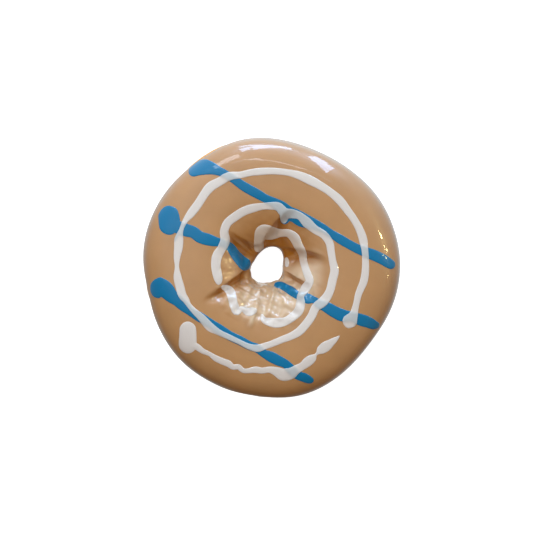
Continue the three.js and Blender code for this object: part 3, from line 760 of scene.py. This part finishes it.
class DOUGHNUT_OT_maple_coat(bpy.types.Operator):
    """Model the maple icing as a closed coat over the crown, down the outside and into the hole"""

    bl_idname = "doughnut.maple_coat"
    bl_label = "Maple Icing"
    bl_options = {"REGISTER", "UNDO"}

    def execute(self, context):
        form = ring_form(context)
        ring, angle, turn = torus_blank("maple_coat", *COAT_STEPS)
        # Of the blank's section, 70% becomes the outer skin, 3% each edge, and the rest the underside.
        share = turn / (2 * math.pi)
        outer_part = 0.7
        edge_part = 0.03
        edge_swell = 0.012  # how far the edges round outwards, of the icing's run
        start = math.radians(COAT_INNER_EDGE)
        over = np.clip(share / outer_part, 0, 1)
        edge = np.clip((share - outer_part) / edge_part, 0, 1)
        under = np.clip((share - outer_part - edge_part) / (1 - outer_part - 2 * edge_part), 0, 1)
        inner_edge = np.clip((share - 1 + edge_part) / edge_part, 0, 1)
        run = over * (1 - under)
        rising = (1 + np.cos(math.pi * inner_edge)) / 2
        sinking = (1 - np.cos(math.pi * edge)) / 2
        depth = np.where(share > 1 - edge_part, rising, sinking)
        swell = np.sin(math.pi * edge) * (inner_edge == 0) - np.sin(math.pi * inner_edge)
        place_round = start + (form.coat_end(angle) - start) * (run + edge_swell * swell)
        places = form.coat_skin(angle, place_round, depth * form.coat_thickness)
        lay_vertices(ring, places)
        # Painted shade: the icing is painted darker deep in the puckers, on their shaded sides,
        # down the hole's north-east side, and where it thins out low on the outside.
        pucker, shaded = form.pucker(angle, place_round)
        funnel = smooth_step(np.cos(place_round), 0.2, 1) * (place_round > 0)
        funnel = funnel * (0.1 + 0.9 * smooth_step(np.cos(angle - math.radians(65)), -0.5, 0.5))
        thin = smooth_step(place_round, math.radians(125), math.radians(178))
        store_values(ring, "painted_shade", np.clip(pucker / 8 + shaded + 0.85 * funnel + 0.5 * thin, 0, 1))
        store_values(ring, "shaded", shaded)
        # Painted glare: it is paler on the south and east slopes into the hole, less so down in a pucker,
        # and it has painted highlights along the runs.
        painted_glare = 0.9 * form.painted_glare(angle, place_round) * (1 - shaded) * np.exp(-0.2 * pucker)
        store_values(ring, "painted_glare", np.maximum(painted_glare, form.run(angle, place_round)))
        flow = np.stack((np.cos(angle), np.sin(angle), place_round), -1)
        store_values(ring, "flow", flow, "FLOAT_VECTOR")
        turn_faces_out(ring)
        finish_piece(ring, set_maple_icing(context.scene.doughnut_colours), "maple_icing", "maple_icing")
        return {"FINISHED"}


def smooth_through(points, step):
    """A smooth curve through points, cut into steps: the places, widths and distances along it."""
    points = np.array(points, dtype=float)
    along = np.concatenate(([0], np.cumsum(np.hypot(*np.diff(points[:, :2], axis=0).T))))
    slopes = np.gradient(points, along, axis=0) if len(points) > 2 else np.gradient(points, axis=0)
    count = max(8, math.ceil(along[-1] / step))
    at = np.linspace(0, along[-1], count + 1)
    spot = np.clip(np.searchsorted(along, at, side="right") - 1, 0, len(along) - 2)
    span = (along[spot + 1] - along[spot])[:, None]
    part = ((at - along[spot])[:, None]) / span
    start = (1 + 2 * part) * (1 - part) ** 2 * points[spot]
    start_slope = part * (1 - part) ** 2 * span * slopes[spot]
    finish = part**2 * (3 - 2 * part) * points[spot + 1]
    finish_slope = part**2 * (part - 1) * span * slopes[spot + 1]
    return start + start_slope + finish + finish_slope, at


def near_strokes(x, y, strokes):
    """How far inside the nearest of some strokes each place in plan lies, in millimetres."""
    inside = np.full(x.shape, -9.0)
    for stroke in strokes:
        curve, _ = smooth_through(stroke, CROSSING_STEP)
        for start in range(0, len(x), LOT):
            part = slice(start, start + LOT)
            away = np.hypot(x[part, None] - curve[None, :, 0], y[part, None] - curve[None, :, 1])
            inside[part] = np.maximum(inside[part], (curve[None, :, 2] / 2 - away).max(1))
    return inside


def pour_stroke(form, name, stroke, height, lie_over=()):
    """One stroke of drizzle: a sphere drawn out along the stroke into a low bead that hugs the icing."""
    curve, at = smooth_through(stroke, STROKE_STEP)
    length = at[-1]
    first = curve[0, 2] / 2
    last = curve[-1, 2] / 2
    turns = np.linspace(0, math.pi / 2, STROKE_CAP + 1)
    rings = np.concatenate(
        (
            first * (1 - np.cos(turns[1:])),
            np.arange(first + STROKE_STEP, length - last, STROKE_STEP),
            (length - last * (1 - np.cos(turns[1:])))[::-1],
        )
    )
    deselect_all()
    bpy.ops.mesh.primitive_uv_sphere_add(segments=STROKE_SIDES, ring_count=len(rings) + 1, radius=1.0)
    bead = bpy.context.object
    bead.name = name
    places = vertex_places(bead)
    polar = np.arccos(np.clip(places[:, 2], -1, 1))
    ring = np.rint(polar / math.pi * (len(rings) + 1)).astype(int)
    around = np.arctan2(places[:, 1], places[:, 0])
    stops = np.concatenate(([0], rings, [length]))
    centre = np.stack([np.interp(stops, at, curve[:, axis]) for axis in range(3)], -1)
    way = np.gradient(centre[:, :2], axis=0)
    way /= np.maximum(np.linalg.norm(way, axis=1, keepdims=True), 1e-9)
    side_way = np.stack((-way[:, 1], way[:, 0]), -1)
    round_start = np.sqrt(np.clip(1 - np.clip(1 - stops / max(first, 0.01), 0, 1) ** 2, 0, 1))
    round_end = np.sqrt(np.clip(1 - np.clip(1 - (length - stops) / max(last, 0.01), 0, 1) ** 2, 0, 1))
    half = centre[:, 2] / 2 * round_start * round_end
    across = np.cos(around)
    up = np.sin(around)
    across_power, up_power = STROKE_SQUARENESS
    pole = (ring == 0) | (ring == len(rings) + 1)
    across = np.where(pole, 0, np.sign(across) * np.abs(across) ** across_power)
    offset = across * half[ring]
    x = centre[ring, 0] + side_way[ring, 0] * offset
    y = centre[ring, 1] + side_way[ring, 1] * offset
    full = np.minimum(1, centre[ring, 2] / FULL_WIDTH) ** 0.5
    thick = height * full * np.maximum(round_start * round_end, 0.05)[ring]
    lift = np.where(up > 0, thick * np.abs(up) ** up_power, -STROKE_SINK * np.abs(up))
    lift = np.where(pole, 0, lift)
    cover = np.zeros_like(x)
    if lie_over:
        cover = smooth_step(near_strokes(x, y, lie_over), *RISE_EDGE)
        lift = np.where(up > 0, lift + RISE_OVER_BLUE * cover, lift)
    lay_vertices(bead, form.drape(x, y, lift))
    store_values(bead, "over_blue", cover)
    store_values(bead, "along", np.stack((stops[ring], offset, np.zeros_like(offset)), -1), "FLOAT_VECTOR")
    # A stroke is thin where it ran down the north side of the hole, and it is painted as in shade there.
    from_hole = np.hypot(x - HOLE_CENTRE[0], y - HOLE_CENTRE[1])
    store_values(bead, "thin", (1 - smooth_step(from_hole, 13, 16)) * smooth_step(y, -1, 5))
    turn_faces_out(bead)
    return bead


def join_pieces(pieces, name):
    deselect_all()
    for piece in pieces:
        piece.select_set(True)
    bpy.context.view_layer.objects.active = pieces[0]
    bpy.ops.object.join()
    joined = bpy.context.object
    joined.name = name
    joined.data.name = name
    return joined


class DOUGHNUT_OT_blue_drizzle(bpy.types.Operator):
    """Pour the blue stripes across the icing"""

    bl_idname = "doughnut.blue_drizzle"
    bl_label = "Blue Drizzle"
    bl_options = {"REGISTER", "UNDO"}

    def execute(self, context):
        form = ring_form(context)
        height = context.scene.doughnut_sizes.blue_height / MM
        strokes = [pour_stroke(form, "blue_stroke", stroke, height) for stroke in BLUE_STROKES]
        drizzle = join_pieces(strokes, "blue_drizzle")
        material = drizzle_icing("blue_poured_fondant", context.scene.doughnut_colours.blue)
        finish_piece(drizzle, material, "blue_drizzle", "maple_icing")
        return {"FINISHED"}


class DOUGHNUT_OT_white_drizzle(bpy.types.Operator):
    """Pour the white spiral and the curl beside it, over the blue stripes"""

    bl_idname = "doughnut.white_drizzle"
    bl_label = "White Drizzle"
    bl_options = {"REGISTER", "UNDO"}

    def execute(self, context):
        form = ring_form(context)
        height = context.scene.doughnut_sizes.white_height / MM
        strokes = [
            pour_stroke(form, "white_stroke", stroke, height, BLUE_STROKES) for stroke in WHITE_STROKES
        ]
        drizzle = join_pieces(strokes, "white_drizzle")
        finish_piece(drizzle, white_icing(context.scene.doughnut_colours), "white_drizzle", "maple_icing")
        return {"FINISHED"}


def soft_light(name, place, size, power, colour):
    light = bpy.data.lights.new(name, "AREA")
    light.shape = "RECTANGLE"
    light.size, light.size_y = size
    light.energy = power
    light.color = linear(colour)
    lamp = bpy.data.objects.new(name, light)
    bpy.context.scene.collection.objects.link(lamp)
    lamp.location = place
    lamp.rotation_euler = (LIGHT_AIM - Vector(place)).to_track_quat("-Z", "Y").to_euler()
    lamp.visible_camera = False
    lamp.visible_glossy = False


def mirrored_card(name, corners, glow, colour):
    """A window or lamp that only the glaze mirrors, by the heading and rise of its corners."""
    heading, rise = np.radians(np.array(corners, dtype=float)).T
    deselect_all()
    bpy.ops.mesh.primitive_plane_add(size=1)
    card = bpy.context.object
    card.name = name
    level = np.cos(rise)
    way = np.stack((np.sin(heading) * level, np.cos(heading) * level, np.sin(rise)), -1)
    lay_vertices(card, CARD_DISTANCE * way)
    material, surface = new_material(name)
    set_inputs(surface, Base_Color=(0, 0, 0, 1), Emission_Color=(*linear(colour), 1), Emission_Strength=glow)
    card.data.materials.append(material)
    card.visible_camera = False
    card.visible_diffuse = False
    card.visible_shadow = False


class DOUGHNUT_OT_stage(bpy.types.Operator):
    """Set up the pale table, the soft lights and the camera straight above"""

    bl_idname = "doughnut.stage"
    bl_label = "Stage"
    bl_options = {"REGISTER", "UNDO"}

    def execute(self, context):
        stage = context.scene.doughnut_stage
        deselect_all()
        bpy.ops.mesh.primitive_plane_add(size=6, location=(0, 0, -0.0002))
        table = context.object
        table.name = "table"
        bpy.ops.object.transform_apply(location=True)
        material, surface = new_material("pale_table")
        set_inputs(surface, Base_Color=(0.5, 0.5, 0.5, 1), Roughness=0.7)
        set_inputs(surface, Emission_Color=(1, 1, 1, 1), Emission_Strength=1.0)
        table.data.materials.append(material)
        table.visible_diffuse = False
        table.visible_glossy = False
        self.add_room(context)
        soft_light("soft_window", *WINDOW_LIGHT, stage.window_power, "#FBFCFF")
        soft_light("soft_fill", *FILL_LIGHT, FILL_SHARE * stage.window_power, "#FFEBD2")
        for name, corners in WINDOWS.items():
            mirrored_card(name, corners, stage.window_glow, "#B4D6FF")
        for name, corners in FAINT_WINDOWS.items():
            mirrored_card(name, corners, FAINT_GLOW * stage.window_glow, "#E0E8F4")
        for heading, rise, width in SMALL_LAMPS:
            across = width / math.cos(math.radians(rise))
            corners = [(heading + east, rise + up) for up in (0, width) for east in (0, across)]
            mirrored_card("small_lamp", corners, LAMP_GLOW * stage.window_glow, "#FFE9A0")
        self.add_camera(context, stage.camera_height)
        context.scene.view_settings.view_transform = "Standard"
        return {"FINISHED"}

    def add_room(self, context):
        """A room that is bright to the north, where the window is, and dim to the south."""
        brightest_way = (0.1, 0.93, -0.2)
        contrast = 2.6
        dim_side = (0.13, 0.08, 0.04, 1)
        bright_side = (1.5, 1.7, 1.8, 1)
        world = bpy.data.worlds.new("room")
        world.use_nodes = True
        tree = world.node_tree
        way = add_node(tree, "ShaderNodeTexCoord").outputs["Generated"]
        north = add_node(
            tree, "ShaderNodeVectorMath", {"operation": "DOT_PRODUCT"}, {0: way, 1: brightest_way}
        )
        share = add_node(
            tree, "ShaderNodeMapRange", feeds={"Value": north.outputs["Value"]}, From_Min=-1.0, From_Max=1.0
        )
        bend = add_node(
            tree, "ShaderNodeMath", {"operation": "POWER"}, {0: share.outputs["Result"], 1: contrast}
        )
        tone = add_node(
            tree, "ShaderNodeMix", {"data_type": "RGBA"}, {0: bend.outputs[0], 6: dim_side, 7: bright_side}
        )
        tree.links.new(tone.outputs[2], tree.nodes["Background"].inputs[0])
        context.scene.world = world

    def add_camera(self, context, height):
        camera = bpy.data.cameras.new("camera")
        camera.sensor_width = 36
        camera.lens = camera.sensor_width * height / (PICTURE_SIDE * PIXEL * MM)
        holder = bpy.data.objects.new("camera", camera)
        context.scene.collection.objects.link(holder)
        waist = context.scene.doughnut_sizes.waist_height
        holder.location = (PICTURE_CENTRE[0] * MM, PICTURE_CENTRE[1] * MM, waist + height)
        context.scene.camera = holder


GROUPS = {
    "doughnut_sizes": DoughnutSizes,
    "doughnut_colours": DoughnutColours,
    "doughnut_stage": DoughnutStage,
}
PIECES = (
    DOUGHNUT_OT_fried_dough,
    DOUGHNUT_OT_maple_coat,
    DOUGHNUT_OT_blue_drizzle,
    DOUGHNUT_OT_white_drizzle,
)


class VIEW3D_PT_doughnut(bpy.types.Panel):
    bl_label = "Maple Iced Doughnut"
    bl_idname = "VIEW3D_PT_doughnut"
    bl_space_type = "VIEW_3D"
    bl_region_type = "UI"
    bl_category = "Doughnut"

    def draw(self, context):
        for group_name, group in GROUPS.items():
            for name in group.__annotations__:
                self.layout.prop(getattr(context.scene, group_name), name)
        for piece in (*PIECES, DOUGHNUT_OT_stage):
            self.layout.operator(piece.bl_idname)


CLASSES = (*GROUPS.values(), *PIECES, DOUGHNUT_OT_stage, VIEW3D_PT_doughnut)


def register():
    for item in CLASSES:
        bpy.utils.register_class(item)
    for name, group in GROUPS.items():
        setattr(bpy.types.Scene, name, bpy.props.PointerProperty(type=group))


def unregister():
    for name in GROUPS:
        delattr(bpy.types.Scene, name)
    for item in reversed(CLASSES):
        bpy.utils.unregister_class(item)


def main():
    register()
    bpy.ops.doughnut.fried_dough()
    bpy.ops.doughnut.maple_coat()
    bpy.ops.doughnut.blue_drizzle()
    bpy.ops.doughnut.white_drizzle()
    bpy.ops.doughnut.stage()


if __name__ == "__main__":
    main()
